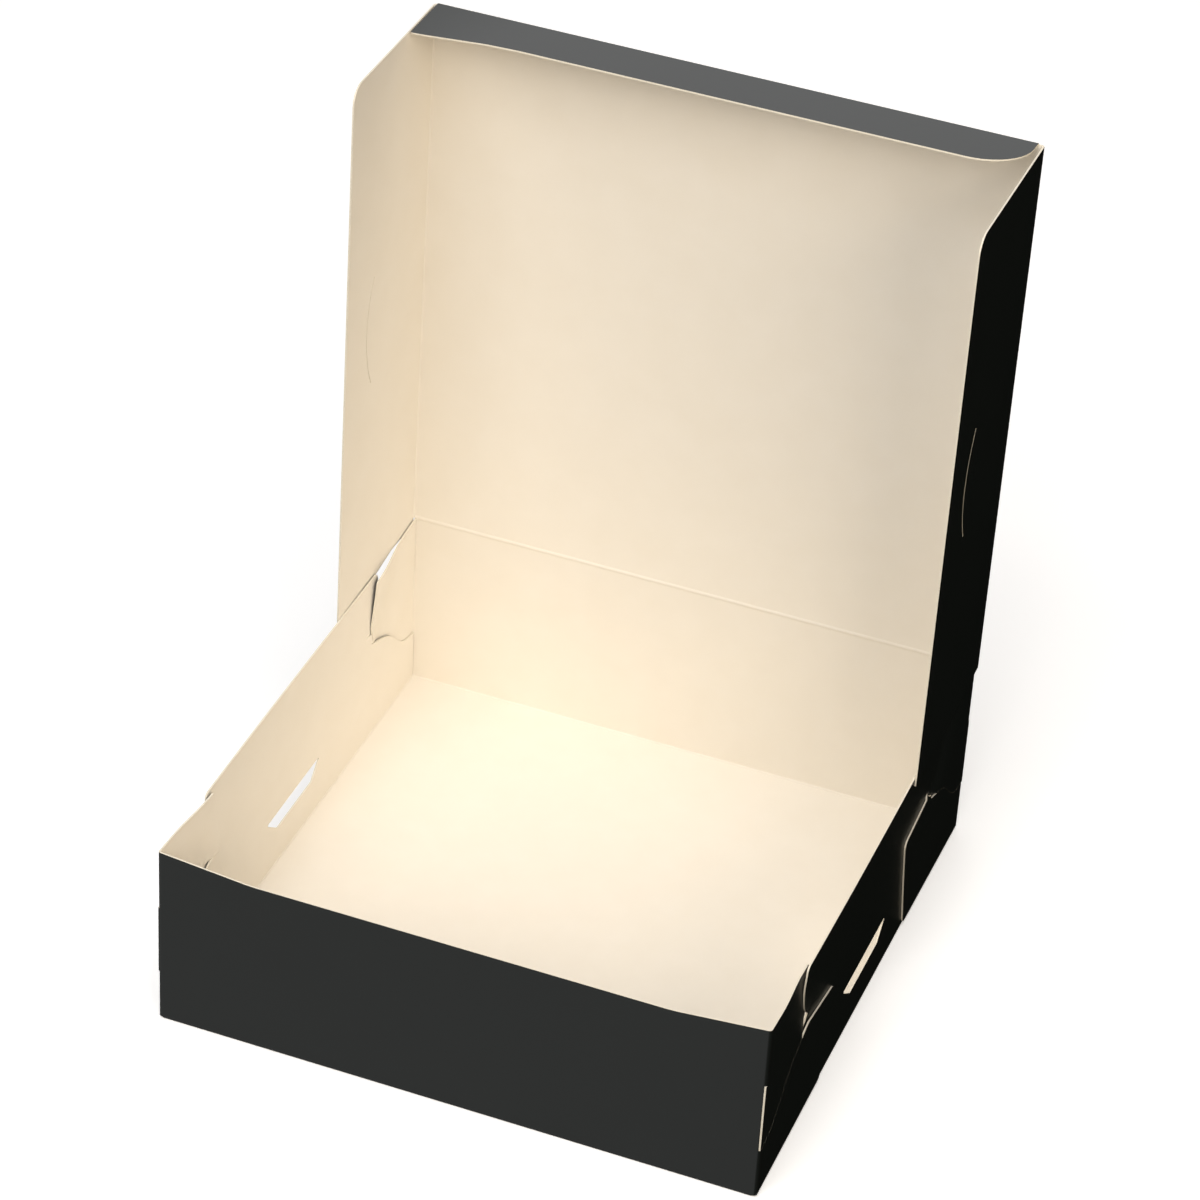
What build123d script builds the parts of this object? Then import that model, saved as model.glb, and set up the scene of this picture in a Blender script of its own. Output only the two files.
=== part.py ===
from build123d import *
import math
import os

# A lock corner cake box, folded from one die cut blank of thin board, with its lid standing open.
# Frame: the origin is the middle of the tray's underside, X to the right, Y to the back, Z up.

# The board, and the widths that folding and cutting leave.
board = 0.6  # thickness of the board
layer_gap = 0.15  # air between two layers of board that lie on each other
cut_gap = 0.4  # width that a die cut slit keeps once the box is folded
crease_gap = 0.2  # bare crease between two panels that a fold joins
overrun = 2.0  # how far every cutting shape runs past the board it cuts

# The tray.
tray_width = 228.6
tray_depth = 228.6
tray_height = 76.2
side_wall_drop = 1.7  # the side walls stop this far below the rim, so the lid beds on the other two
front_dip = 3.4  # the front rim is lower in its middle, so a finger can lift the lid
front_dip_run = 35.0  # length over which the rim slopes down from each corner
front_dip_blend = 60.0  # radius between the slope and the level part

# The ears that fold round the corners and lock on the side walls. Their outline is given as
# shares: the first of the ear's reach along the side wall, the second of the tray's height.
ear_reach = 77.0
ear_foot_relief = 1.0  # the ear is cut free of the bottom fold by this much
ear_foot_shares = (0.87, 0.026)
ear_tip_shares = (1.0, 0.58)
ear_mouth_shares = (0.6, 0.63)
tab_end_shares = (0.53, 0.95)
tab_hook_shares = (0.578, 0.61)
tab_slit_shares = ((0.364, 0.505), (0.162, 0.322))
slit_foot_shares = (0.0, 0.262)
fold_slit_top_share = 0.695
wall_notch_shares = (0.48, 0.893)  # where the side wall's notch turns straight up
ear_corner_radius = 3.0
hook_radius = 1.2
notch_corner_radius = 3.5
ramp_start = 6.0  # the tab starts to slant inwards this far from the corner
ramp_end = 33.0  # and lies flat on the inside of the wall from here on
corner_lap = 6.0  # length of end wall that a corner piece is modelled with

# The slot in each side wall, where the thumb tab of the lid's side flap is pushed in.
slot_length = 48.2  # along its upper edge
slot_height = 7.2
slot_foot = 16.3  # height of its lower edge
slot_front_slant = 9.7  # how much shorter the lower edge is at its front end
slot_back_slant = 7.7
slot_lead = 1.1  # the slot's middle lies this far ahead of the wall's
slot_round = 0.6

# The lid, which stands open and leans back a little.
lid_lift = 0.25  # air between the rim and the closed lid
lid_lean = 1.1  # degrees back from upright
lid_side_clearance = 0.4  # air between an ear and the side flap that closes over it
lid_front_setback = 5.0  # from the front wall's inner face to the closed lid's front fold
hinge_clearance = 0.1
flap_foot_clearance = 4.0  # from the table to the closed side flap's edge
flap_corner_radius = 7.0
flap_end_gap = 0.2  # the side flaps stop this far short of the front fold

# The cut that frees the thumb tab in each side flap.
thumb_chord = 45.5
thumb_rise = 5.5
thumb_above_slot = 4.5  # the tab's own fold lies this far above the slot once the lid is shut
thumb_lag = 3.6  # and its middle this far behind the slot's

# The tuck flap along the lid's front edge.
front_flap_depth = 25.4
front_flap_fold = 84.0  # degrees from flat
front_flap_clearance = 0.6  # air between its ends and the ears when it is tucked in
front_flap_left_round = 1.0
front_flap_right_round = 19.0

# Places that follow from the sizes above.
half_width = tray_width / 2
half_depth = tray_depth / 2
side_wall_height = tray_height - side_wall_drop
side_wall_outer = half_width - board - layer_gap
side_wall_end = half_depth - board - layer_gap
tab_shift = 2 * (board + layer_gap)  # from the outermost layer to the innermost
hinge_y = half_depth - board
hinge_z = tray_height + lid_lift
lid_length = 2 * (half_depth - board) - lid_front_setback
flap_inner = half_width + lid_side_clearance
side_flap_depth = hinge_z - flap_foot_clearance
heel_slope = tray_height * (1 - tab_end_shares[1]) / (ear_reach * tab_end_shares[0])
front_flap_half = half_width - board - front_flap_clearance


def ear_point(shares):
    """A point of the lock's outline, measured from the corner of the tray."""
    reach, rise = shares
    return (reach * ear_reach, rise * tray_height)


def lowered(point, drop):
    """The same point, moved straight down."""
    return (point[0], point[1] - drop)


def slit_path(drop):
    """Points of the curved slit between tab and ear, from the hook to the corner fold."""
    points = [tab_hook_shares, *tab_slit_shares, slit_foot_shares]
    return [lowered(ear_point(shares), drop) for shares in points]


def tab_outline():
    """The tab that is pushed behind the side wall, as it is cut from the flat board."""
    slit = slit_path(0)
    with BuildSketch() as outline:
        with BuildLine():
            Spline(*slit)
            Polyline(slit[-1], (0, tray_height), ear_point(tab_end_shares), slit[0])
        make_face()
        end_corner = outline.vertices().sort_by_distance((*ear_point(tab_end_shares), 0))[0]
        fillet(end_corner, ear_corner_radius)
        hook_corner = outline.vertices().sort_by_distance((*slit[0], 0))[0]
        fillet(hook_corner, hook_radius)
    return outline.sketch


def ear_outline():
    """The broad part of the ear, which stays outside the side wall."""
    slit = slit_path(cut_gap)
    foot = ear_point(ear_foot_shares)
    tip = ear_point(ear_tip_shares)
    with BuildSketch() as outline:
        with BuildLine():
            Spline(*slit)
            Polyline(slit[-1], (0, ear_foot_relief), foot, tip, ear_point(ear_mouth_shares), slit[0])
        make_face()
        free_corners = outline.vertices().sort_by(Axis.X)[-2:]
        fillet(free_corners, ear_corner_radius)
    return outline.sketch


def notch_outline():
    """What is cut from the side wall's upper corner, so that the tab can pass to its inside."""
    slit = slit_path(cut_gap + layer_gap)
    mouth = ear_point(ear_mouth_shares)
    turn = ear_point(wall_notch_shares)
    rim = (turn[0], side_wall_height - notch_corner_radius)
    rim_end = (turn[0] + notch_corner_radius, side_wall_height)
    with BuildSketch() as outline:
        with BuildLine():
            Spline(mouth, *slit[1:])
            TangentArc(turn, mouth, tangent=(0, -1))
            Line(turn, rim)
            TangentArc(rim, rim_end, tangent=(0, 1))
            Polyline(
                rim_end,
                (rim_end[0], side_wall_height + overrun),
                (-overrun, side_wall_height + overrun),
                (-overrun, slit[-1][1]),
                slit[-1],
            )
        make_face()
    return outline.sketch


def slot_outline():
    """The slot in a side wall: level edges, and two ends that slant in towards the bottom."""
    front = -slot_length / 2 - slot_lead
    back = front + slot_length
    top = slot_foot + slot_height
    with BuildSketch() as outline:
        with BuildLine():
            Polyline(
                (front, top),
                (front + slot_front_slant, slot_foot),
                (back - slot_back_slant, slot_foot),
                (back, top),
                close=True,
            )
        make_face()
        fillet(outline.vertices(), slot_round)
    return outline.sketch


def on_side(outline, from_x, to_x, at_y=0):
    """Extrude an outline drawn in Y and Z between two places along X."""
    plane = Plane(origin=(from_x, at_y, 0), x_dir=(0, 1, 0), z_dir=(1, 0, 0))
    return extrude(plane * outline, to_x - from_x)


def folded_strip(plane, width, height, length):
    """Bottom and two walls as one bent strip: square inside its folds and round outside."""
    with BuildSketch() as section:
        Rectangle(width, height, align=(Align.CENTER, Align.MIN))
        fillet(section.vertices().group_by(Axis.Y)[0], board)
        with Locations((0, board)):
            Rectangle(width - 2 * board, height, align=(Align.CENTER, Align.MIN), mode=Mode.SUBTRACT)
    return extrude(plane * section.sketch, length / 2, both=True)


def front_dip_cutter():
    """The shallow dip in the front rim."""
    start = half_width - board
    shoulder = start - front_dip_run
    level = tray_height - front_dip
    with BuildSketch() as outline:
        with BuildLine():
            Polyline(
                (-start, tray_height + overrun),
                (-start, tray_height),
                (-shoulder, level),
                (shoulder, level),
                (start, tray_height),
                (start, tray_height + overrun),
                close=True,
            )
        make_face()
        fillet(outline.vertices().group_by(Axis.Y)[0], front_dip_blend)
    plane = Plane(origin=(0, -half_depth + board + overrun, 0), x_dir=(1, 0, 0), z_dir=(0, -1, 0))
    return extrude(plane * outline.sketch, board + 2 * overrun)


def ear_band():
    """Plan of the corner for the ear: straight along the outside of the side wall."""
    with BuildSketch() as plan:
        with Locations((half_width, -half_depth)):
            Rectangle(corner_lap, ear_reach + overrun, align=(Align.MAX, Align.MIN))
            fillet(plan.vertices().sort_by_distance((half_width, -half_depth, 0))[0], board)
        with Locations((half_width - board, -half_depth + board)):
            Rectangle(corner_lap, ear_reach + overrun, align=(Align.MAX, Align.MIN), mode=Mode.SUBTRACT)
    return plan.sketch


def tab_band():
    """Plan of the corner for the tab: it slants from the outer layer to the inner one."""
    ramp_out = (half_width, -half_depth + ramp_start)
    ramp_in = (half_width - tab_shift, -half_depth + ramp_end)
    far_y = -half_depth + ear_reach
    along = (0, 1)
    with BuildSketch() as plan:
        with BuildLine():
            Spline(ramp_out, ramp_in, tangents=(along, along))
            Polyline(
                ramp_in,
                (ramp_in[0], far_y),
                (ramp_in[0] - board, far_y),
                (ramp_in[0] - board, ramp_in[1]),
            )
            Spline(
                (ramp_out[0] - board, ramp_out[1]),
                (ramp_in[0] - board, ramp_in[1]),
                tangents=(along, along),
            )
            Polyline(
                (ramp_out[0] - board, ramp_out[1]),
                (half_width - board, -half_depth + board),
                (half_width - corner_lap, -half_depth + board),
                (half_width - corner_lap, -half_depth),
                (half_width, -half_depth),
                ramp_out,
            )
        make_face()
        fillet(plan.vertices().sort_by_distance((half_width, -half_depth, 0))[0], board)
    return plan.sketch


def corner_lock():
    """The right front corner: its fold, the ear and the tab."""
    inner_x = half_width - corner_lap - overrun
    outer_x = half_width + overrun
    ear = extrude(ear_band(), tray_height) & on_side(ear_outline(), inner_x, outer_x, -half_depth)
    tab = extrude(tab_band(), tray_height) & on_side(tab_outline(), inner_x, outer_x, -half_depth)
    return ear + tab


def fold_slit():
    """The slit along the corner fold, which frees the tab below its root."""
    low = slit_foot_shares[1] * tray_height
    high = fold_slit_top_share * tray_height
    cutter = Box(cut_gap, board + 2 * overrun, high - low, align=(Align.MAX, Align.CENTER, Align.MIN))
    return Pos(half_width - board, -half_depth + board / 2, low) * cutter


def fold_slit_edge():
    """Beside that slit the tab isn't folded, so its cut edge stands square."""
    low = slit_foot_shares[1] * tray_height
    high = fold_slit_top_share * tray_height
    edge = Box(board, board, high - low, align=(Align.MAX, Align.MIN, Align.MIN))
    return Pos(half_width, -half_depth, low) * edge


def at_each_corner(piece):
    """The piece at the right front corner, and its mirror images at the other three."""
    right = [piece, mirror(piece, Plane.XZ)]
    return right + [mirror(each, Plane.YZ) for each in right]


def make_tray():
    """Bottom, four walls and four locked ears, in one piece of board."""
    end_walls = folded_strip(Plane.YZ, tray_depth, tray_height, 2 * side_wall_outer)
    side_walls = folded_strip(Plane.XZ, 2 * side_wall_outer, side_wall_height, 2 * side_wall_end)
    notch = on_side(notch_outline(), -half_width - overrun, half_width + overrun, -half_depth)
    side_walls -= notch
    side_walls -= mirror(notch, Plane.XZ)
    side_walls -= on_side(slot_outline(), -half_width - overrun, half_width + overrun)
    tray = end_walls + side_walls
    for lock in at_each_corner(corner_lock()):
        tray += lock
    for slit in at_each_corner(fold_slit()):
        tray -= slit
    for edge in at_each_corner(fold_slit_edge()):
        tray += edge
    return tray - front_dip_cutter()


def lid_frame():
    """The hinge line as a frame: X along it, Y up the open lid, Z towards the front."""
    lean = math.radians(lid_lean)
    return Plane(
        origin=(0, hinge_y, hinge_z),
        x_dir=(1, 0, 0),
        z_dir=(0, -math.cos(lean), math.sin(lean)),
    ).location


def make_lid_panel():
    """The flat top of the lid, from the hinge to the front fold."""
    start = board + hinge_clearance
    size = (2 * flap_inner, lid_length - start, board)
    panel = Box(*size, align=(Align.CENTER, Align.MIN, Align.MAX))
    return lid_frame() * Pos(0, start, 0) * panel


def thumb_cut():
    """The bowed cut round the thumb tab, drawn along the flap and across it."""
    middle = hinge_y + slot_lead - thumb_lag
    chord_depth = hinge_z - slot_foot - slot_height - thumb_above_slot
    half = thumb_chord / 2
    arc = ThreePointArc(
        (middle - half, chord_depth),
        (middle, chord_depth + thumb_rise),
        (middle + half, chord_depth),
    )
    return SlotArc(arc, cut_gap)


def make_right_flap():
    """A side flap, folded square to the lid, with its thumb tab cut.

    One cut parts the flap from the ear beside it in the flat blank, so the flap's heel slopes as
    the top of the ear's tab does.
    """
    far_end = lid_length - flap_end_gap
    heel = crease_gap - heel_slope * side_flap_depth
    with BuildSketch() as outline:
        with BuildLine():
            Polyline(
                (crease_gap, crease_gap),
                (far_end, crease_gap),
                (far_end, side_flap_depth),
                (heel, side_flap_depth),
                close=True,
            )
        make_face()
        far_corner = outline.vertices().sort_by_distance((lid_length, side_flap_depth, 0))[0]
        fillet(far_corner, flap_corner_radius)
    sheet = outline.sketch - thumb_cut()
    plane = Plane(origin=(flap_inner, 0, 0), x_dir=(0, 1, 0), z_dir=(1, 0, 0))
    return lid_frame() * extrude(plane * sheet, board)


def make_left_flap():
    """The mirror image of the right flap."""
    return mirror(make_right_flap(), Plane.YZ)


def make_front_flap():
    """The tuck flap, folded a little less than square."""
    fold = math.radians(front_flap_fold)
    with BuildSketch() as outline:
        with Locations((0, crease_gap)):
            depth = front_flap_depth - crease_gap
            Rectangle(2 * front_flap_half, depth, align=(Align.CENTER, Align.MIN))
        free_edge = outline.vertices().group_by(Axis.Y)[-1].sort_by(Axis.X)
        fillet(free_edge[0], front_flap_left_round)
        fillet(outline.vertices().group_by(Axis.Y)[-1].sort_by(Axis.X)[-1], front_flap_right_round)
    plane = Plane(
        origin=(0, lid_length, 0),
        x_dir=(1, 0, 0),
        z_dir=(0, -math.sin(fold), math.cos(fold)),
    )
    return lid_frame() * extrude(plane * outline.sketch, -board)


parts = {
    "tray": make_tray(),
    "lid_panel": make_lid_panel(),
    "lid_left_flap": make_left_flap(),
    "lid_right_flap": make_right_flap(),
    "lid_front_flap": make_front_flap(),
}

os.makedirs("parts", exist_ok=True)
for name, solid in parts.items():
    export_step(solid, f"parts/{name}.step")
    print(name, round(solid.volume), "mm3", solid.bounding_box().size)
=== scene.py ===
# %% [markdown]
# # A lock corner cake box, folded in Blender
#
# The real box is one flat sheet of thin board: black and smooth on its outside, bare and cream on
# its inside. A die cuts the outline and presses the creases, and the box is folded up by hand.
# This lesson makes it the same way. Each sheet is drawn flat, scored, folded in small turns, and
# only then given its thickness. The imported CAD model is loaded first: it fixes every size, and
# each Blender sheet stands where its CAD solid stands.

# %% Load the frame
import math

import bmesh
import bpy
from mathutils import Matrix, Vector
from mathutils.geometry import interpolate_bezier


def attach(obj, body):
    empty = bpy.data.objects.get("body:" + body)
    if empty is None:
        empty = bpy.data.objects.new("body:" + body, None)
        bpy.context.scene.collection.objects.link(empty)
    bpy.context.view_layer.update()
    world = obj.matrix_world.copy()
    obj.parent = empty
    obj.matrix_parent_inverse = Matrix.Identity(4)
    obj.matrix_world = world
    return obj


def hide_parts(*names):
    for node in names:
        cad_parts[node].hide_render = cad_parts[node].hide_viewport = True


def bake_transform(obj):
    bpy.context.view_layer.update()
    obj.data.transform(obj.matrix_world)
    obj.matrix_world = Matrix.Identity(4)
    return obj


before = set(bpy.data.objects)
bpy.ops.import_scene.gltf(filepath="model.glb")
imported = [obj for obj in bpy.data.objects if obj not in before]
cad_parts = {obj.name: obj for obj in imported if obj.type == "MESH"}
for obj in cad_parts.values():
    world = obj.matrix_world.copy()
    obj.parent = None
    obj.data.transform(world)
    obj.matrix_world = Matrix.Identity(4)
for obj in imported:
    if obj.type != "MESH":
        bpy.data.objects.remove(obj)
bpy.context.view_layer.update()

# %% [markdown]
# ## The sizes of the box
#
# Lengths are in millimetres here, because that is how a box maker thinks of them, and one factor
# turns them into Blender's metres. The sheets are drawn on the outer face of the board, so the
# thickness always goes inwards.

# %% Sizes
mm = 0.001
BOARD = 0.6
HALF = 114.3  # half the tray's width, and half its depth
HEIGHT = 76.2
SIDE_OUTER = 113.55  # outer face of the side walls, which stand inside the ears
SIDE_TOP = 74.5
DIP_TOP = 72.8  # height of the front rim in its middle
HINGE_Y = 113.7
HINGE_Z = 76.45
LEAN = 1.1  # degrees that the open lid leans back
LID_LENGTH = 222.4
LID_HALF = 114.7  # inner face of the side flaps
FLAP_DEPTH = 72.45
FRONT_FLAP_HALF = 113.1
FRONT_FLAP_DEPTH = 25.4
SIDE_FOLD = 90.2  # degrees that the side flaps are folded from flat
FRONT_FOLD = 84  # degrees that the front flap is folded from flat
print("The tray is", 2 * HALF, "mm square and", HEIGHT, "mm high")

# %% [markdown]
# ## The camera
#
# The photograph was taken with a long lens from the front and a little to the right, looking down
# at about 35 degrees, with the camera slightly rolled. The camera comes first, so that every step
# can be compared with the photograph.

# %% Camera
bpy.ops.object.camera_add(
    location=(0.43921, -1.24418, 1.08687),
    rotation=[math.radians(turn) for turn in (54.4597, -2.8918, 21.3589)],
)
camera = bpy.context.object
camera.name = "camera"
camera.data.lens = 137.46
camera.data.sensor_width = 36
camera.data.clip_end = 20
bpy.context.scene.camera = camera
print("Camera distance in m:", round(camera.location.length, 2))

# %% [markdown]
# ## Helpers for working flat
#
# Each helper is one thing that the hands do: select by place, draw and cut an outline, score lines
# across the sheet, and turn what lies beyond a line. An operator works on whatever is selected, so
# every helper clears the selection first.

# %% Selecting
NEAR = 0.05  # two places on the blank that are closer than this, in mm, are the same


def take(sheet):
    """Make one object the only selected and active one."""
    bpy.ops.object.select_all(action="DESELECT")
    sheet.select_set(True)
    bpy.context.view_layer.objects.active = sheet


def pick(sheet, inside):
    """In edit mode, select vertices by their place on the flat blank, x and y in millimetres."""
    bpy.ops.mesh.select_all(action="DESELECT")
    bpy.ops.mesh.select_mode(type="VERT")
    mesh = bmesh.from_edit_mesh(sheet.data)
    blank = mesh.verts.layers.float_vector["blank"]
    for vertex in mesh.verts:
        vertex.select = inside(vertex[blank].x, vertex[blank].y)
    mesh.select_flush(True)
    bmesh.update_edit_mesh(sheet.data)
    return sum(vertex.select for vertex in mesh.verts)


# %% Cutting an outline
TINY = 0.01 * mm  # shorter than any edge that the die cuts


def cut(name, outline, *windows):
    """Draw a closed outline with its windows, fill it, and return it as a flat mesh."""
    drawing = bpy.data.curves.new(name, "CURVE")
    drawing.dimensions = "2D"
    drawing.fill_mode = "BOTH"
    for line in (outline, *windows):
        spline = drawing.splines.new("POLY")
        spline.points.add(len(line) - 1)
        for point, (x, y) in zip(spline.points, line):
            point.co = (x, y, 0, 1)
        spline.use_cyclic_u = True
    sheet = bpy.data.objects.new(name, drawing)
    bpy.context.collection.objects.link(sheet)
    take(sheet)
    bpy.ops.object.convert(target="MESH")
    bpy.ops.transform.resize(value=(mm, mm, mm), center_override=(0, 0, 0))
    bpy.ops.object.transform_apply(location=True, rotation=True, scale=True)
    sheet = bpy.context.object
    bpy.ops.object.mode_set(mode="EDIT")
    bpy.ops.mesh.select_all(action="SELECT")
    bpy.ops.mesh.remove_doubles(threshold=0.001 * mm)
    bpy.ops.mesh.dissolve_limited(angle_limit=math.radians(0.1))
    bpy.ops.object.mode_set(mode="OBJECT")
    return sheet


def score(sheet, across_x, across_y):
    """Divide the flat sheet along straight lines, so that it can bend there."""
    take(sheet)
    bpy.ops.object.mode_set(mode="EDIT")
    for axis, places in (((1, 0, 0), across_x), ((0, 1, 0), across_y)):
        for place in places:
            bpy.ops.mesh.select_all(action="SELECT")
            bpy.ops.mesh.bisect(plane_co=[place * mm * a for a in axis], plane_no=axis)
    bpy.ops.mesh.select_mode(type="EDGE")
    bpy.ops.mesh.select_all(action="DESELECT")
    mesh = bmesh.from_edit_mesh(sheet.data)
    for edge in mesh.edges:
        run = edge.verts[1].co - edge.verts[0].co
        edge.select = not edge.is_boundary and min(abs(run.x), abs(run.y)) > TINY
    bmesh.update_edit_mesh(sheet.data)
    bpy.ops.mesh.dissolve_edges(use_verts=False)
    bpy.ops.mesh.select_all(action="SELECT")
    bpy.ops.mesh.normals_make_consistent(inside=False)
    if bmesh.from_edit_mesh(sheet.data).faces[:][0].normal.z > 0:
        bpy.ops.mesh.flip_normals()
    bpy.ops.object.mode_set(mode="OBJECT")
    blank = sheet.data.attributes.new("blank", "FLOAT_VECTOR", "POINT")
    for vertex, place in zip(sheet.data.vertices, blank.data):
        place.vector = vertex.co / mm


# %% Folding
def turn(degrees, axis, about):
    """Rotate what is selected about a line. Without a window the operator turns the other way."""
    bpy.ops.transform.rotate(
        value=-math.radians(degrees),
        orient_axis=axis,
        orient_type="GLOBAL",
        center_override=[place * mm for place in about],
    )


def fold(sheet, lines, degrees, axis, beyond):
    """Fold at several close lines, the furthest first, so that the board bends round a radius."""
    take(sheet)
    bpy.ops.object.mode_set(mode="EDIT")
    for line in reversed(lines):
        pick(sheet, lambda x, y: beyond(x, y, line))
        about = (0, line, 0) if axis == "X" else (line, 0, 0)
        turn(degrees / len(lines), axis, about)
    bpy.ops.object.mode_set(mode="OBJECT")


# %% [markdown]
# ## Folds with a radius
#
# Board never folds to a knife edge. Its outside stretches round a radius of about a millimetre. A
# fold is therefore four lines close together, each turned by a quarter of the angle. The chain of
# short strips is shorter than the corner that it cuts off, and that difference is the fold
# allowance, which a box maker takes off the flat blank.

# %% Fold allowance
FOLD_STEPS = 4
FOLD_STEP = 0.45
fold_angles = [math.radians(90 / FOLD_STEPS * n) for n in range(1, FOLD_STEPS)]
FOLD_RADIUS = FOLD_STEP * sum(math.cos(angle) for angle in fold_angles)
ALLOWANCE = 2 * FOLD_RADIUS - FOLD_STEP * (FOLD_STEPS - 1)


def fold_lines(corner):
    """The four scored lines of a fold whose outer corner would be at this place."""
    start = abs(corner) - FOLD_RADIUS
    return [math.copysign(start + FOLD_STEP * n, corner) for n in range(FOLD_STEPS)]


print("Fold radius", round(FOLD_RADIUS, 2), "mm, allowance", round(ALLOWANCE, 2), "mm")

# %% [markdown]
# ## The die line of the tray
#
# Half of the blank is drawn and mirrored. Along the right side lie, from the front: the ear with
# the tab that is cut into it by a curved slit, the side wall with its two notches, and the ear at
# the back. Points on an ear are given as the distance from its corner and the height above the
# table, and one function puts them in the flat blank.

# %% Ear, tab and notch outlines
slit_knots = [(44.3, 45.5), (28.0, 38.4), (12.5, 25.2), (0.0, 21.9)]
SLIT_WIDTH = 0.05
FOLD_SLIT_TOP = 51.2
FOLD_SLIT_INNER = 113.6
EAR_RELIEF = 1.0  # the ear is cut free of the bottom fold by this much


def smooth_through(knots, steps=6):
    """A smooth line through the knots, with a straight run in and out."""
    line = []
    for n in range(len(knots) - 1):
        before = knots[max(n - 1, 0)]
        start, end = knots[n], knots[n + 1]
        after = knots[min(n + 2, len(knots) - 1)]
        lead_in = [s + (e - b) / 6 for s, e, b in zip(start, end, before)]
        lead_out = [e - (a - s) / 6 for s, e, a in zip(start, end, after)]
        part = interpolate_bezier(
            (*start, 0), (*lead_in, 0), (*lead_out, 0), (*end, 0), steps + 1
        )
        line += [(point.x, point.y) for point in part[:-1]]
    return line + [knots[-1]]


def rounded(before, corner, after, radius, steps=5):
    """The points that replace a corner by an arc of the radius."""
    corner = Vector(corner)
    to_before = (Vector(before) - corner).normalized()
    to_after = (Vector(after) - corner).normalized()
    half = to_before.angle(to_after) / 2
    centre = corner + (to_before + to_after).normalized() * radius / math.sin(half)
    first = corner + to_before * radius / math.tan(half) - centre
    sweep = first.angle_signed(corner + to_after * radius / math.tan(half) - centre)
    points = []
    for n in range(steps + 1):
        angle = -sweep * n / steps
        c, s = math.cos(angle), math.sin(angle)
        points.append((centre.x + first.x * c - first.y * s, centre.y + first.x * s + first.y * c))
    return points


slit = smooth_through(slit_knots)


def slit_height(d):
    """Height of the slit at a distance from the corner."""
    for (d1, z1), (d2, z2) in zip(slit, slit[1:]):
        if d2 <= d <= d1:
            return z2 + (z1 - z2) * (d - d2) / (d1 - d2)
    return slit[0][1]


print("The slit between tab and ear has", len(slit), "points")

# %% One corner of the blank
HOOK = slit_knots[0]
SLIT_EDGE = FOLD_RADIUS  # the tab's free edge starts where the corner's bend ends
# The front ears, way -1, have sagged a little, and the back ones, way 1, have not.
ear_tips = {-1: (73.5, 40.9), 1: (76.5, 46.2)}
ear_mouths = {-1: (44.9, 45.3), 1: (45.8, 50.4)}
ear_corner, ear_foot = (0.0, EAR_RELIEF), (67.0, 2.0)
under_hook = (HOOK[0] + 0.35, HOOK[1] - 0.2)  # where a back ear's edge turns into the slit
free_end, tab_end, tab_root = (45.9, 53.0), (42.6, 73.2), (0.0, HEIGHT)
lower_slit = [(d, z - SLIT_WIDTH) for d, z in slit]
EAR_ROUND, HOOK_ROUND, FREE_END_ROUND, TAB_END_ROUND = 3.0, 0.8, 12.0, 1.6


def ear_edge(way):
    """The edge of an ear, from its foot round to the corner's slit."""
    tip, mouth = ear_tips[way], ear_mouths[way]
    return [
        *rounded(ear_corner, ear_foot, tip, EAR_ROUND),
        *rounded(ear_foot, tip, mouth, EAR_ROUND),
        mouth,
        *([under_hook] if mouth[1] > HOOK[1] else []),
        *[(d, z) for d, z in lower_slit if SLIT_EDGE < d < HOOK[0] - 1 and z < mouth[1] - 0.2],
        (SLIT_EDGE, slit_height(SLIT_EDGE) - SLIT_WIDTH),
    ]


tab_edge = [
    (SLIT_EDGE, slit_height(SLIT_EDGE)),
    *[point for point in reversed(slit) if SLIT_EDGE < point[0] < HOOK[0] - 2],
    *rounded(slit[1], HOOK, free_end, HOOK_ROUND),
    *rounded(HOOK, free_end, tab_end, FREE_END_ROUND),
    *rounded(free_end, tab_end, tab_root, TAB_END_ROUND),
]

# The notch in the side wall lets the tab pass to the inside. Its edge follows the slit a little
# lower, most of all near the hook, then turns up in a quarter round to the rim.
notch_drops = {-1: 0.2, 1: 0.6}
NOTCH_ROUND = 2.2
arc_foot, turn_up, notch_rim = (46.2, 48.0), (37.4, 66.0), (38.6, SIDE_TOP)
notch_arc = interpolate_bezier(
    (*arc_foot, 0),
    (arc_foot[0] - 5.6, arc_foot[1] + 4.8, 0),
    (turn_up[0], turn_up[1] - 7.5, 0),
    (*turn_up, 0),
    8,
)


def wall_edge(way):
    """The side wall's edge at one corner: along the slit, up the arc and on to the rim."""
    under_slit = [
        (d, z - notch_drops[way] * (d / HOOK[0]) ** 2)
        for d, z in slit
        if HALF - SIDE_OUTER < d < HOOK[0]
    ]
    return [
        *reversed(under_slit),
        *[(point.x, point.y) for point in notch_arc],
        *rounded(turn_up, notch_rim, (HALF, SIDE_TOP), NOTCH_ROUND),
    ]


print("Corner drawn with", len(ear_edge(1)) + len(tab_edge) + len(wall_edge(1)), "points")

# %% [markdown]
# Now the corner is laid out flat, once for the front and once for the back, and joined up into the
# outline of the right half. The front rim dips in its middle, so that a finger can get under the
# closed lid.

# %% The whole blank
def on_end_strip(x, z, way):
    """A point of the front or back wall, laid flat. way is -1 for the front, 1 for the back."""
    return (x, way * (HALF + z - ALLOWANCE))


def on_ear(point, way):
    """A point of an ear: distance from the corner and height, laid flat."""
    return on_end_strip(HALF + point[0] - ALLOWANCE, point[1], way)


def on_side_wall(point, way):
    """A point of the side wall, laid flat."""
    return (SIDE_OUTER + point[1] - ALLOWANCE, way * (HALF - point[0]))


SIDE_END = HALF - SIDE_OUTER
slit_low = slit_height(SLIT_EDGE) - SLIT_WIDTH


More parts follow.
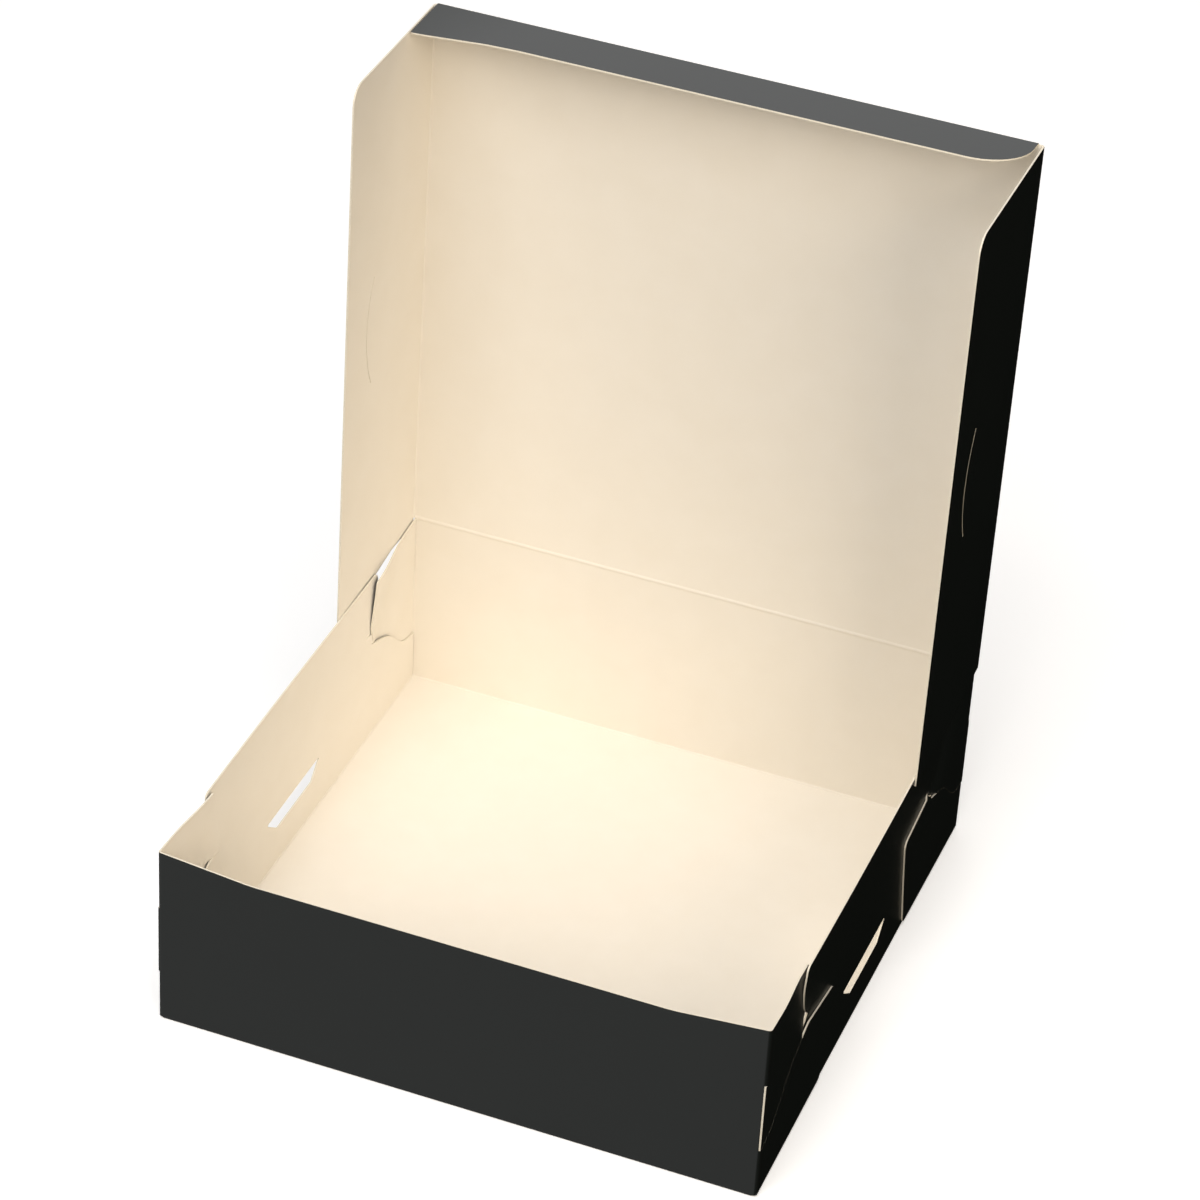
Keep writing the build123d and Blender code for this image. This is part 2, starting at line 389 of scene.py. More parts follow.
def corner(way):
    """One corner of the blank, from the middle of the end wall's rim to the side wall's rim."""
    rim = [on_end_strip(HALF - ALLOWANCE, HEIGHT, way)]
    points = rim + [on_ear(point, way) for point in reversed(tab_edge)]
    points += [on_ear((SLIT_EDGE, FOLD_SLIT_TOP), way)]
    points += [on_end_strip(FOLD_SLIT_INNER, FOLD_SLIT_TOP, way)]
    points += [on_end_strip(FOLD_SLIT_INNER, slit_low, way)]
    points += [on_ear(point, way) for point in reversed(ear_edge(way))]
    points += [on_ear(ear_corner, way), on_end_strip(SIDE_OUTER - FOLD_RADIUS, FOLD_RADIUS, way)]
    points += [(SIDE_OUTER - FOLD_RADIUS, way * (HALF - SIDE_END))]
    points += [on_side_wall(point, way) for point in [(SIDE_END, FOLD_RADIUS), *wall_edge(way)]]
    return points


DIP_END, DIP_START, DIP_ROUND = 78.7, 113.7, 60.0  # the rim slopes down between these places
dip = rounded((0, DIP_TOP), (DIP_END, DIP_TOP), (DIP_START, HEIGHT), DIP_ROUND)
front_rim = [on_end_strip(0, DIP_TOP, -1), *[on_end_strip(x, z, -1) for x, z in dip]]
half_blank = [
    *front_rim,
    on_end_strip(DIP_START, HEIGHT, -1),
    *corner(-1),
    *reversed(corner(1)),
    on_end_strip(0, HEIGHT, 1),
]
print("Half of the blank has", len(half_blank), "points")

# %% The thumb slot
# Its corners: the place along the wall, and the height above the table.
slot_corners = [(-15.5, 16.3), (15.3, 16.3), (23.0, 23.5), (-25.2, 23.5)]
SLOT_ROUND = 0.6
slot = []
for n, (y, z) in enumerate(slot_corners):
    before, after = slot_corners[n - 1], slot_corners[(n + 1) % 4]
    slot += rounded(before, (y, z), after, SLOT_ROUND)
slot_window = [on_side_wall((HALF - y, z), 1) for y, z in slot]
tray = cut("tray_sheet", half_blank, slot_window)
print("Half blank cut:", len(tray.data.polygons), "faces")

# %% [markdown]
# ## Scoring and folding the tray
#
# The half is mirrored, and the whole blank is divided by straight lines: four at each fold, and
# more in between, so that the walls can bow a little later. Side walls go up first, then the ears
# are turned against the end walls, and last the end walls go up and carry the ears round to the
# outside of the side walls. This is the order of the real hands too.

# %% Score the tray
def finish_modifiers(sheet):
    """Apply every modifier, from the top of the stack down."""
    take(sheet)
    for modifier in list(sheet.modifiers):
        bpy.ops.object.modifier_apply(modifier=modifier.name)


def both_ways(places):
    """The same places on both sides of the middle."""
    return sorted([*places, *[-place for place in places if place]])


tray.modifiers.new("other_half", "MIRROR").merge_threshold = TINY
finish_modifiers(tray)

HOLD = 1.2  # a line this far from each fold keeps the shading of the panels flat
GRID = 12
side_folds = fold_lines(SIDE_OUTER)
corner_folds = fold_lines(HALF)
panel_lines = [n * GRID for n in range(10)]
# Lines across an ear are closest together where its tab slants inwards.
ear_lines = [HALF - ALLOWANCE + d for d in (6, 10.5, 15, 19.5, 24, 28.5, 33, 38, 43, 52, 62)]
holding_x = [side_folds[0] - HOLD, corner_folds[-1] + HOLD]
holding_y = [corner_folds[0] - HOLD, corner_folds[-1] + HOLD]
wall_lines = [HALF + z for z in (8, 16, 24, 33, 40, 46, 53, 60, 68)]  # up the end walls
score(
    tray,
    both_ways(panel_lines + side_folds + corner_folds + holding_x + ear_lines),
    both_ways(panel_lines + corner_folds + holding_y + wall_lines),
)
print("Scored blank:", len(tray.data.polygons), "faces")

# %% Mark the creases
# A crease presses the board into a small bead on its inner side. The two middle lines of each fold
# are put in a vertex group, which makes the board a little thicker there later on.
def near(place, lines):
    """Whether a place lies on one of the lines, on either side of the middle."""
    return any(abs(abs(place) - abs(line)) < NEAR for line in lines)


take(tray)
tray.vertex_groups.new(name="bead")
bpy.ops.object.mode_set(mode="EDIT")
on_creases = pick(
    tray,
    lambda x, y: near(y, corner_folds[1:3]) and abs(x) < SIDE_OUTER
    or near(x, side_folds[1:3]) and abs(y) < HALF - SIDE_END
    or near(x, corner_folds[1:3]) and abs(y) > HALF + FOLD_RADIUS,
)
bpy.ops.object.vertex_group_assign()
bpy.ops.object.mode_set(mode="OBJECT")
print("Vertices on creases:", on_creases)

# %% Fold the tray
EPS = 0.02  # what lies beyond a line by more than this, in mm, turns with the fold
SIDE_LIMIT = HALF - SIDE_END + EPS
for way in (1, -1):
    fold(
        tray, [way * line for line in side_folds], -90 * way, "Y",
        lambda x, y, line: way * x > abs(line) + EPS and abs(y) < SIDE_LIMIT,
    )
    fold(
        tray, [way * line for line in corner_folds], -90 * way, "Y",
        lambda x, y, line: way * x > abs(line) + EPS and abs(y) > SIDE_LIMIT,
    )
for way in (1, -1):
    fold(
        tray, [way * line for line in corner_folds], 90 * way, "X",
        lambda x, y, line: way * y > abs(line) + EPS
        and (abs(y) > SIDE_LIMIT or abs(x) < side_folds[0] + EPS),
    )
low = [min(vertex.co[axis] for vertex in tray.data.vertices) / mm for axis in range(3)]
high = [max(vertex.co[axis] for vertex in tray.data.vertices) / mm for axis in range(3)]
print("Folded tray from", [round(a, 2) for a in low], "to", [round(a, 2) for a in high])

# %% [markdown]
# ## Tucking the tabs behind the side walls
#
# The upper part of each ear, above the curved slit, passes through the notch and lies on the
# inside of the side wall. A Displace modifier without a texture moves the board along its normal
# by the weight of a vertex group: nothing near the corner, and two layers with their air further
# along. The free end springs away from the wall a little, which leaves the dark gap beside it.

# %% Weights of the tabs
LAYER_GAP = 0.15
TAB_SHIFT = 2 * (BOARD + LAYER_GAP)
TAB_SPRING = 1.3  # the most that a tab's free end stands off the wall
HOOK_SPRINGS = 0.5, 1.2  # how far it stands off at the hook, and there on the front left tab
RIM_SPRINGS = {-1: 0.6, 1: 1.3}  # and near the rim, on the front and on the back tabs
WALL_PRESS = 0.6  # how far the hook presses the wall's edge inwards
RIM_RAMP, SLIT_RAMP = (10, 36), (39, 45)  # where a tab starts and ends its way in, on each edge


def ramp(place, start, end):
    """A smooth step, 0 up to the start and 1 from the end on."""
    share = min(max((place - start) / (end - start), 0), 1)
    return share * share * (3 - 2 * share)


def weigh(sheet, name, weight):
    """Give each vertex of the sheet its weight(x, y) by its place on the blank."""
    group = sheet.vertex_groups.new(name=name)
    for vertex, place in zip(sheet.data.vertices, sheet.data.attributes["blank"].data):
        amount = weight(place.vector.x, place.vector.y)
        if amount > 0:
            group.add([vertex.index], amount, "REPLACE")


def on_tab(d, z):
    """Whether a place, distance from the corner and height, lies on a tab."""
    # A known fault: the back ears' mouths lie inside this limit too, and go in with the tabs.
    return 0 < d < free_end[0] + 1 and z > slit_height(d) - SLIT_WIDTH / 2


def wall_press(d, z):
    """How far the hook holds the wall's edge in beside the slit, where a dark crevice opens."""
    along = ramp(d, 14, 30) * ramp(d, 56, 46)
    return WALL_PRESS * along * ramp(abs(slit_height(d) - z), 16, 0)


def tab_depth(x, y):
    """Share of the full displacement of a place on a tab, or on the wall beside one."""
    if abs(y) < SIDE_LIMIT:
        z = abs(x) - SIDE_OUTER + ALLOWANCE
        return wall_press(HALF - abs(y), z) / (TAB_SHIFT + TAB_SPRING) if z > 0 else 0
    d, z = abs(x) - HALF + ALLOWANCE, abs(y) - HALF + ALLOWANCE
    if not on_tab(d, z):
        return 0
    up = min((z - slit_height(d)) / (tab_end[1] - slit_height(d)), 1)
    start, end = [low + (high - low) * up for low, high in zip(SLIT_RAMP, RIM_RAMP)]
    at_hook = ramp(d, 38, 45) * ramp(z, 60, 48) * HOOK_SPRINGS[x < 0 and y < 0]
    at_rim = ramp(d, 18, 44) * ramp(z, 44, 74) * RIM_SPRINGS[1 if y > 0 else -1]
    depth = ramp(d, start, end) * TAB_SHIFT + max(at_hook, at_rim)
    return min(depth / (TAB_SHIFT + TAB_SPRING), 1)


def displace(sheet, group, distance):
    """Move the board along its normal by the weights of a vertex group, times a distance."""
    shift = sheet.modifiers.new(group, "DISPLACE")
    shift.vertex_group = group
    shift.mid_level = 0
    shift.strength = distance * mm
    finish_modifiers(sheet)


weigh(tray, "tab_depth", tab_depth)
displace(tray, "tab_depth", -(TAB_SHIFT + TAB_SPRING))
print("Tabs moved in by", TAB_SHIFT, "mm")

# %% [markdown]
# The tabs push the side walls apart, so both walls bow outwards, most of all at the rim and a
# little ahead of the middle. Ears and tabs go with the wall that they hold.

# %% Bow of the side walls
BOW = 1.1
BOW_MIDDLE, BOW_REACH = -22, 140
BOW_START, BOW_FULL = 8, 42  # the corners stay square, and the bow is whole from here on
BOW_GROWTH = 2.3  # the higher, the more of the bow is near the rim


def bow(x, y):
    """Share of the bow, by the place along the wall and the height."""
    if abs(y) < SIDE_LIMIT:
        along, z = y, abs(x) - SIDE_OUTER + ALLOWANCE
    else:
        along = math.copysign(HALF - (abs(x) - HALF + ALLOWANCE), y)
        z = abs(y) - HALF + ALLOWANCE
    if z < 0 or abs(x) < side_folds[0] or abs(along) > HALF:
        return 0
    bulge = math.cos(math.pi / 2 * min(abs(along - BOW_MIDDLE) / BOW_REACH, 1))
    return bulge * ramp(HALF - abs(along), BOW_START, BOW_FULL) * (z / HEIGHT) ** BOW_GROWTH


weigh(tray, "bow", bow)
displace(tray, "bow", BOW)
print("Side walls bowed by", BOW, "mm")

# %% [markdown]
# Beside the slit in each corner fold the board isn't bent at all. On the right the tab's cut edge
# stands square and runs on to the face of the end wall. On the left the end wall's edge runs on to
# the face of the tab. Each such edge is extruded by what the bend would have taken up.

# %% Square edges at the corner slits
def extend(sheet, beside, run):
    """Extrude the upright cut edges of a corner slit, picked on the blank, by a run in mm."""
    take(sheet)
    bpy.ops.object.mode_set(mode="EDIT")
    pick(sheet, beside)
    bpy.ops.mesh.select_mode(type="EDGE")
    mesh = bmesh.from_edit_mesh(sheet.data)
    for edge in mesh.edges:
        upright = (edge.verts[1].co - edge.verts[0].co).normalized().z
        edge.select = edge.is_boundary and edge.select and abs(upright) > 0.99
    bmesh.update_edit_mesh(sheet.data)
    moved = {"value": [part * mm for part in run]}
    bpy.ops.mesh.extrude_edges_move(TRANSFORM_OT_translate=moved)
    bpy.ops.object.mode_set(mode="OBJECT")


def in_fold_slit(x, y, across, way):
    """Whether a place on the blank lies on a corner slit's edge. way is the end of the box."""
    height = way * y - HALF + ALLOWANCE
    return abs(x - across) < NEAR and slit_low - NEAR < height < FOLD_SLIT_TOP + NEAR


TAB_START = HALF + SLIT_EDGE - ALLOWANCE
square_edges = [  # where each edge lies across the blank, and its run sideways and endwards
    (TAB_START, 0, FOLD_RADIUS),
    (-TAB_START, 0, FOLD_RADIUS - BOARD),
    (-FOLD_SLIT_INNER, FOLD_SLIT_INNER - HALF, 0),
]
for way in (1, -1):
    for across, sideways, endwards in square_edges:
        extend(
            tray, lambda x, y: in_fold_slit(x, y, across, way), (sideways, way * endwards, 0)
        )
print("Tray sheet:", len(tray.data.polygons), "faces")

# %% [markdown]
# ## The three finishes of the board
#
# The board is a solid bleached or kraft board, coated with clay and printed solid black on one
# side, under a water based varnish. Its other side is bare and cream. Where the die has cut it,
# the fibres show. Each finish starts from that: how it was made decides its colour, its gloss and
# its grain.

# %% Colours and nodes
def colour(code):
    """An sRGB hex colour as Blender's linear numbers."""
    parts = [int(code[n : n + 2], 16) / 255 for n in (0, 2, 4)]
    return [c / 12.92 if c <= 0.04045 else ((c + 0.055) / 1.055) ** 2.4 for c in parts] + [1]


def add(tree, kind, links=(), values=(), **settings):
    """Add a node with its settings, its input values and its links from earlier sockets."""
    made = tree.nodes.new(kind)
    for name, value in settings.items():
        setattr(made, name, value)
    for socket, value in dict(values).items():
        made.inputs[socket].default_value = value
    for socket, source in dict(links).items():
        tree.links.new(source, made.inputs[socket])
    return made


def finish(name, **values):
    """A new material: its tree, its shader with these values, and its object coordinates."""
    material = bpy.data.materials.new(name)
    material.use_nodes = True
    tree = material.node_tree
    shader = tree.nodes["Principled BSDF"]
    for socket, value in values.items():
        shader.inputs[socket.replace("_", " ")].default_value = value
    place = add(tree, "ShaderNodeTexCoord").outputs["Object"]
    return material, tree, shader, place


# %% Black coated board
# Clay coating, solid black ink and a satin varnish: an even, nearly neutral black whose sheen
# gives the eye most of what it sees. Clouds 30 mm wide are the uneven lay of the varnish, and
# lumps of 0.7 mm are the faint orange peel that it takes up from the board.
black, tree, shader, place = finish("black_coated_board", Roughness=0.36, IOR=1.5)
lay = add(tree, "ShaderNodeTexNoise", {"Vector": place}, {"Scale": 1 / (30 * mm), "Detail": 3})
ink = add(
    tree,
    "ShaderNodeMix",
    {"Factor": lay.outputs["Fac"]},
    {6: colour("161a19"), 7: colour("191d1c")},
    data_type="RGBA",
)
tree.links.new(ink.outputs[2], shader.inputs["Base Color"])
lumps = add(tree, "ShaderNodeTexNoise", {"Vector": place}, {"Scale": 1 / (0.7 * mm)})
peel = add(
    tree,
    "ShaderNodeBump",
    {"Height": lumps.outputs["Fac"]},
    {"Strength": 0.12, "Distance": 0.05 * mm},
)
tree.links.new(peel.outputs["Normal"], shader.inputs["Normal"])

# %% Bare cream board
# The back of the board has no coating. It is matt and a little fibrous: soft clouds of 14 mm where
# the pulp is denser, and fibres about 0.1 mm thick, drawn here at 0.4 mm so that they show.
cream, tree, shader, place = finish(
    "bare_cream_board", Roughness=0.85, IOR=1.45, Specular_IOR_Level=0.2
)
pulp = add(tree, "ShaderNodeTexNoise", {"Vector": place}, {"Scale": 1 / (14 * mm), "Detail": 4})
clouds = add(
    tree,
    "ShaderNodeMix",
    {"Factor": pulp.outputs["Fac"]},
    {6: colour("ebe4d7"), 7: colour("efe9de")},
    data_type="RGBA",
)
tree.links.new(clouds.outputs[2], shader.inputs["Base Color"])
fibres = add(tree, "ShaderNodeTexNoise", {"Vector": place}, {"Scale": 1 / (0.4 * mm), "Detail": 3})
nap = add(
    tree,
    "ShaderNodeBump",
    {"Height": fibres.outputs["Fac"]},
    {"Strength": 0.2, "Distance": 0.06 * mm},
)
tree.links.new(nap.outputs["Normal"], shader.inputs["Normal"])

# %% Die cut edge
# The knife leaves a torn, fibrous edge, pale in some places and darker in others: short fibres of
# 0.15 mm, drawn at 0.5 mm, uneven in height.
edge, tree, shader, place = finish(
    "cut_board_edge", Roughness=0.9, IOR=1.45, Specular_IOR_Level=0.2
)
torn = add(tree, "ShaderNodeTexNoise", {"Vector": place}, {"Scale": 1 / (0.5 * mm), "Detail": 3})
pale = add(
    tree,
    "ShaderNodeMix",
    {"Factor": torn.outputs["Fac"]},
    {6: colour("d9d1be"), 7: colour("f6f0e2")},
    data_type="RGBA",
)
tree.links.new(pale.outputs[2], shader.inputs["Base Color"])
rough_cut = add(
    tree,
    "ShaderNodeBump",
    {"Height": torn.outputs["Fac"]},
    {"Strength": 0.4, "Distance": 0.1 * mm},
)
tree.links.new(rough_cut.outputs["Normal"], shader.inputs["Normal"])

finishes = [black, cream, edge]
print("Finishes:", [material.name for material in finishes])

# %% [markdown]
# ## Black outside, cream inside
#
# Solidify gives the sheet its thickness and its three finishes at once: the drawn face keeps the
# first material, the new inner face takes the second, and the cut edge between them the third. The
# bead group makes the board thicker at the creases.

# %% Thickness
BEAD = 0.25  # how much a crease's bead stands up on the inside
SHEET_ANGLE = 35  # degrees: a sharper turn than this shows as an edge


def thicken(sheet):
    """Give a sheet its thickness, inwards, with its three materials, and shade it."""
    for material in finishes:
        sheet.data.materials.append(material)
    board = sheet.modifiers.new("board", "SOLIDIFY")
    board.thickness = BOARD * mm
    board.offset = -1
    board.use_even_offset = True
    board.use_quality_normals = True
    board.material_offset = 1
    board.material_offset_rim = 2
    if "bead" in sheet.vertex_groups:
        board.thickness = (BOARD + BEAD) * mm
        board.vertex_group = "bead"
        board.thickness_vertex_group = BOARD / (BOARD + BEAD)
    finish_modifiers(sheet)
    bpy.ops.object.shade_smooth_by_angle(angle=math.radians(SHEET_ANGLE))


thicken(tray)
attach(tray, "tray")
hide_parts("tray")
print("Tray with thickness:", len(tray.data.polygons), "faces")

# %% [markdown]
# ## The lid
#
# The lid is made lying on the table with its inside up, as the tray was: a flat panel, two side
# flaps and a front flap, folded up, and then all stood up on the hinge. Each flap is a sheet of
# its own, because each turns on its own crease.

# %% Standing the lid up
def move(sheet, x=0, y=0, z=0):
    """Slide the whole sheet."""
    take(sheet)
    bpy.ops.object.mode_set(mode="EDIT")
    bpy.ops.mesh.select_all(action="SELECT")
    bpy.ops.transform.translate(value=(x * mm, y * mm, z * mm))
    bpy.ops.object.mode_set(mode="OBJECT")


def swing(sheet, degrees, axis, about):
    """Turn the whole sheet about a line."""
    take(sheet)
    bpy.ops.object.mode_set(mode="EDIT")
    bpy.ops.mesh.select_all(action="SELECT")
    turn(degrees, axis, about)
    bpy.ops.object.mode_set(mode="OBJECT")


def stand_up(sheet):
    """Turn a sheet made in the lid's own plane up to the open lid, leaning back a little."""
    swing(sheet, 90 - LEAN, "X", (0, 0, 0))
    move(sheet, y=HINGE_Y, z=HINGE_Z)


# %% Lid panel
CREASE = 0.2  # a flap's sheet starts this far from its fold, and a crease strip fills the rest
PANEL_START = 0.7  # and the lid panel this far from the hinge
grid_lines = both_ways(panel_lines)
length_lines = [n * GRID for n in range(1, 19)]
panel = cut(
    "lid_sheet",
    [
        (-LID_HALF, PANEL_START),
        (LID_HALF, PANEL_START),
        (LID_HALF, LID_LENGTH),
        (-LID_HALF, LID_LENGTH),
    ],
)
score(panel, grid_lines, length_lines)
move(panel, z=-BOARD)
stand_up(panel)
thicken(panel)
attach(panel, "lid")
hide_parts("lid_panel")
print("Lid panel:", [round(side / mm, 1) for side in panel.dimensions])

# %% Side flaps
FLAP_LENGTH = LID_LENGTH - 0.2  # the side flaps stop short of the front fold
FLAP_ROUND = 7.0
# The free edge beside the hinge: depth from the fold, and how far it reaches past the hinge.
heels = {
    1: [(FLAP_DEPTH, 6.56)],
    -1: [(1, 2.6), (8, 3.2), (13.5, 2.2), (22, 2.1), (36, 4.1), (FLAP_DEPTH, 7.5)],
}
THUMB_MIDDLE, THUMB_CHORD, THUMB_RISE, THUMB_DEPTH = 111.2, 45.5, 5.5, 48.45
THUMB_CUT = 0.4  # width of the bowed cut that frees the thumb tab


def thumb_window():
    """A thin bowed cut, as a closed loop of points: depth from the fold and place along it."""
    half = THUMB_CHORD / 2
    radius = (half * half + THUMB_RISE * THUMB_RISE) / (2 * THUMB_RISE)
    spread = math.asin(half / radius)
    loop = []
    for side in (1, -1):
        for n in range(13):
            angle = side * spread * (n / 6 - 1)
            reach = radius + side * THUMB_CUT / 2
            depth = THUMB_DEPTH + THUMB_RISE - radius + reach * math.cos(angle)
            loop.append((depth, THUMB_MIDDLE + reach * math.sin(angle)))
    return loop


def side_flap(name, way, node, body):
    """One side flap, way 1 on the right and -1 on the left."""
    root, far = LID_HALF + CREASE, LID_HALF + FLAP_DEPTH
    outline = [
        (root, CREASE),
        *[(LID_HALF + depth, -past) for depth, past in heels[way]],
        *rounded((far, 0), (far, FLAP_LENGTH), (root, FLAP_LENGTH), FLAP_ROUND),
        (root, FLAP_LENGTH),
    ]
    window = [(LID_HALF + depth, along) for depth, along in thumb_window()]
    outline, window = [[(way * x, y) for x, y in line] for line in (outline, window)]
    flap = cut(name, outline, window)
    depth_lines = [way * (LID_HALF + n * GRID) for n in range(1, 7)]
    score(flap, depth_lines, length_lines)
    move(flap, z=-BOARD)
    swing(flap, -SIDE_FOLD * way, "Y", (way * LID_HALF, 0, 0))
    stand_up(flap)
    thicken(flap)
    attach(flap, body)
    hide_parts(node)
    return flap


flaps = [
    side_flap("right_flap_sheet", 1, "lid_right_flap", "right_flap"),
    side_flap("left_flap_sheet", -1, "lid_left_flap", "left_flap"),
]
for flap in flaps:
    print(flap.name, [round(side / mm, 1) for side in flap.dimensions])

# %% Front flap
front_start = LID_LENGTH + CREASE
front_end = LID_LENGTH + FRONT_FLAP_DEPTH
left_end, right_end = -FRONT_FLAP_HALF - 0.5, FRONT_FLAP_HALF
LEFT_ROUND, RIGHT_ROUND = 1.0, 19.0
FRONT_GRID = 4
front_left, front_right = (left_end, front_end), (right_end, front_end)
left_root, right_root = (left_end, front_start), (right_end, front_start)
front_flap = cut(
    "front_flap_sheet",
    [
        left_root,
        right_root,
        *rounded(right_root, front_right, front_left, RIGHT_ROUND, steps=10),
        *rounded(front_right, front_left, left_root, LEFT_ROUND),
    ],
)
score(front_flap, grid_lines, [front_start + n * FRONT_GRID for n in range(1, 7)])
print("Front flap cut and scored:", len(front_flap.data.polygons), "faces")

# %% Droop of the front flap
DROOP = 2.6  # the flap's left corner hangs this much lower than the rest
DROOP_START, DROOP_FULL = -74, -118


def droop(x, y):
    """Share of the droop: nothing at the fold and in the middle, nearly all at the corner."""
    return ramp(x, DROOP_START, DROOP_FULL) * (y - LID_LENGTH) / FRONT_FLAP_DEPTH


weigh(front_flap, "droop", droop)
move(front_flap, z=-BOARD)
swing(front_flap, FRONT_FOLD, "X", (0, LID_LENGTH, 0))
displace(front_flap, "droop", -DROOP)
stand_up(front_flap)
thicken(front_flap)
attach(front_flap, "front_flap")
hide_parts("lid_front_flap")
print("Front flap:", [round(side / mm, 1) for side in front_flap.dimensions])

# %% [markdown]
# ## The creases that move
#
# Board runs on through a crease. Where the crease is a hinge, a thin strip is drawn as a section,
# with a bead on its inner side, extruded along the fold and set in place there.

# %% Crease strips
BEAD_REACH = 0.5  # how far a bead reaches to each side of its fold
STRIP_ANGLE = 50  # degrees, as SHEET_ANGLE, for the tighter bends of a strip


def crease_section(angle, before, after, rise=BEAD, reach=BEAD_REACH):
    """Section of a crease: outer face bent round the fold, inner face with its bead."""
    steps = 6
    turns = [angle * n / steps for n in range(steps + 1)]
    end = (math.cos(angle), math.sin(angle))
    outer = [(-before, -BOARD)]
    outer += [(BOARD * math.sin(a), -BOARD * math.cos(a)) for a in turns]
    outer += [(BOARD * end[1] + after * end[0], -BOARD * end[0] + after * end[1])]
    first, last = -before - reach, after + reach
    inner_end = (last * end[0], last * end[1])
    bead = []
    for n in range(1, steps):
        t = n / steps
        lift = rise * math.sin(math.pi * t)
        across = (math.sin(angle * t), -math.cos(angle * t))
        flat = [first * (1 - t) + inner_end[0] * t, inner_end[1] * t]
        bead.append((flat[0] - lift * across[0], flat[1] - lift * across[1]))
    inner = [(first, 0), *bead, inner_end]
    return [*outer, (after * end[0], after * end[1]), *reversed(inner), (-before, 0)]


def crease_strip(name, section, length, place, finish_of):
    """Extrude a section along the fold and put it in place by one matrix."""
    strip = cut(name, section)
    bpy.ops.object.mode_set(mode="EDIT")
    bpy.ops.mesh.select_all(action="SELECT")
    bpy.ops.mesh.extrude_region_move(TRANSFORM_OT_translate={"value": (0, 0, length * mm)})
    bpy.ops.mesh.select_all(action="SELECT")
    bpy.ops.mesh.normals_make_consistent(inside=False)
    bpy.ops.object.mode_set(mode="OBJECT")
    for material in finishes:
        strip.data.materials.append(material)
    for face in strip.data.polygons:
        flat_on = abs(face.normal.z) > 0.5
        face.material_index = 2 if flat_on else finish_of(face.center.x / mm, face.center.y / mm)
    strip.data.transform(place)
    bpy.ops.object.shade_smooth_by_angle(angle=math.radians(STRIP_ANGLE))
    return strip


lid_place = Matrix.Translation((0, HINGE_Y * mm, HINGE_Z * mm)) @ Matrix.Rotation(
    math.radians(90 - LEAN), 4, "X"
)


def section_frame(origin, onwards, inwards):
    """The matrix of a section: its first axis onwards over the fold, its second axis inwards."""
    onwards, inwards = Vector(onwards), Vector(inwards)
    along = onwards.cross(inwards)
    axes = Matrix((onwards, inwards, along)).transposed().to_4x4()
    return Matrix.Translation([part * mm for part in origin]) @ axes


def black_outside(a, b):
    """The outer face of a crease is black, all else cream."""
    below = b < -BOARD + NEAR
    round_the_fold = math.hypot(a, b) > BOARD - NEAR and a > 0 and b < CREASE - NEAR
    return 0 if below or round_the_fold else 1


def blend_at(strip):
    """Bake the strip's object transform into its mesh."""
    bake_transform(strip)


# %% The four creases
# The side flaps' beads are slim, so that the shut lid clears the tray's corners.
flap_section = crease_section(math.radians(90), 0, CREASE, rise=0.15, reach=0.35)
places = {
    "right": section_frame((LID_HALF, FLAP_LENGTH, 0), (1, 0, 0), (0, 0, 1)),
    "left": section_frame((-LID_HALF, CREASE, 0), (-1, 0, 0), (0, 0, 1)),
}
for side, inner_place in places.items():
    place = lid_place @ inner_place
    strip = crease_strip(
        f"{side}_flap_crease", flap_section, FLAP_LENGTH - CREASE, place, black_outside
    )
    blend_at(strip)

place = lid_place @ section_frame((left_end, LID_LENGTH, 0), (0, 1, 0), (0, 0, 1))
front_section = crease_section(math.radians(FRONT_FOLD), 0, CREASE)
strip = crease_strip(
    "front_flap_crease", front_section, right_end - left_end, place, black_outside
)
blend_at(strip)

WALL_START = HINGE_Z - HEIGHT
place = section_frame((-HALF, HINGE_Y, HINGE_Z), (0, 0, 1), (0, -1, 0))
hinge_section = crease_section(math.radians(-LEAN), WALL_START, PANEL_START)
strip = crease_strip(
    "hinge_crease", hinge_section, 2 * HALF, place, lambda a, b: 0 if b < -BOARD + 0.1 else 1
)
blend_at(strip)
print("Crease strips:", len(places) + 2)

# %% [markdown]
# ## Floor and light
#
# The photograph has a plain white ground. Soft lights stand above the camera, overhead and to the
# right, and board this pale lights itself from wall to wall. The black coating shows what it
# mirrors: pale screens behind and in front of the box, and next to nothing on its right.

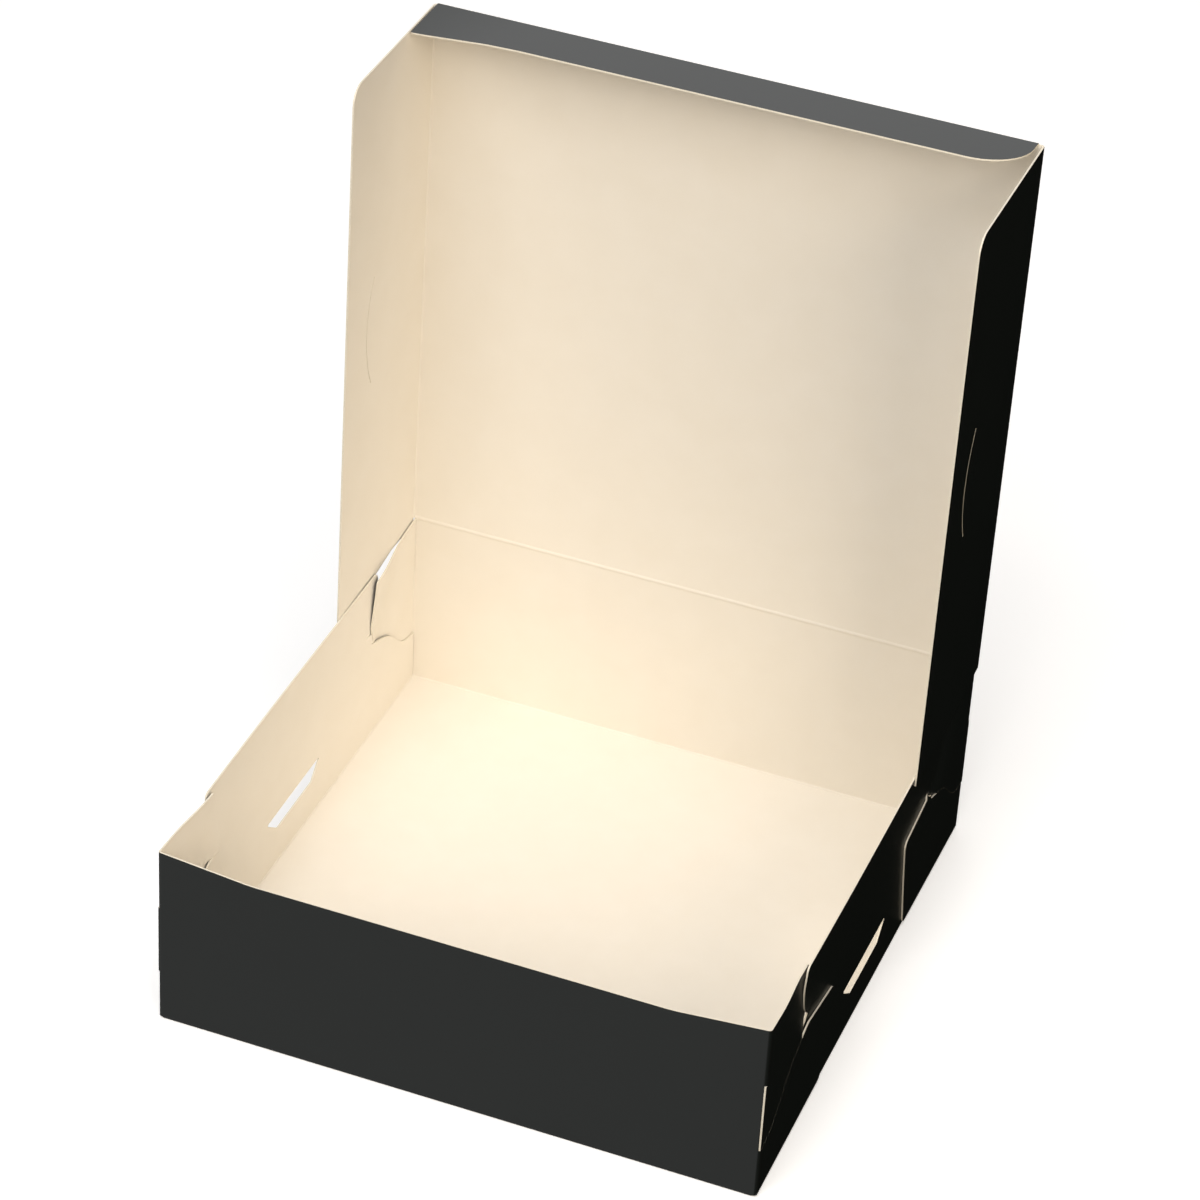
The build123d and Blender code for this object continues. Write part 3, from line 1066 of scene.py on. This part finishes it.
# %% Floor
bpy.ops.mesh.primitive_plane_add(size=8)
floor = bpy.context.object
floor.name = "floor"
ground, *_ = finish(
    "pale_ground",
    Base_Color=colour("fafafa"),
    Roughness=0.9,
    Specular_IOR_Level=0,
    Emission_Color=colour("ffffff"),
    Emission_Strength=0.3,
)
floor.data.materials.append(ground)
floor.visible_glossy = False
floor.visible_diffuse = False
print("Floor size in m:", round(floor.dimensions.x, 1))

# %% Lights
# Each light: its place and size in metres, its power in watts and its colour.
AIM = (0, 0, 0.1)
lights = {
    "key": ((-0.35, -1.8, 2.05), 1.8, 35, "fffaf3"),
    "top": ((0.1, -0.5, 2.6), 1.6, 25, "fafbff"),
    "right_fill": ((1.65, -1.3, 1.2), 1.4, 30, "fff1dd"),
}
for name, (location, size, power, tint) in lights.items():
    bpy.ops.object.light_add(type="AREA", location=location)
    light = bpy.context.object
    light.name = name
    beam = Vector(AIM) - light.location
    light.rotation_euler = beam.to_track_quat("-Z", "Y").to_euler()
    light.data.size = size
    light.data.energy = power
    light.data.color = colour(tint)[:3]
print("Lights:", list(lights))

# %% Screens
# Each screen is a soft round patch of the world: its direction, its half width in degrees and how
# bright it is.
screens = [
    ((-0.3, 0.87, 0.42), 44, 1.05),
    ((-0.5, -0.7, -0.5), 60, 0.5),
    ((1.0, -0.6, 0.3), 45, 0.12),
    ((-0.3, -0.4, 1.0), 80, 0.2),
]
world = bpy.data.worlds.new("studio")
bpy.context.scene.world = world
world.use_nodes = True
tree = world.node_tree
looking = add(tree, "ShaderNodeTexCoord").outputs["Generated"]
glow = 0
for direction, half_width, amount in screens:
    facing = add(
        tree, "ShaderNodeVectorMath", {0: looking}, {1: Vector(direction).normalized()},
        operation="DOT_PRODUCT",
    )
    patch = add(
        tree,
        "ShaderNodeMapRange",
        {"Value": facing.outputs["Value"]},
        {"From Min": math.cos(math.radians(half_width)), "From Max": 1, "To Max": amount},
        interpolation_type="SMOOTHSTEP",
    )
    total = add(tree, "ShaderNodeMath", {0: patch.outputs["Result"]}, {1: 0}, operation="ADD")
    if glow:
        tree.links.new(glow, total.inputs[1])
    glow = total.outputs["Value"]
tree.links.new(glow, tree.nodes["Background"].inputs["Strength"])
tree.nodes["Background"].inputs["Color"].default_value = colour("ffffff")
bpy.context.scene.view_settings.view_transform = "Standard"
print("Screens:", len(screens))
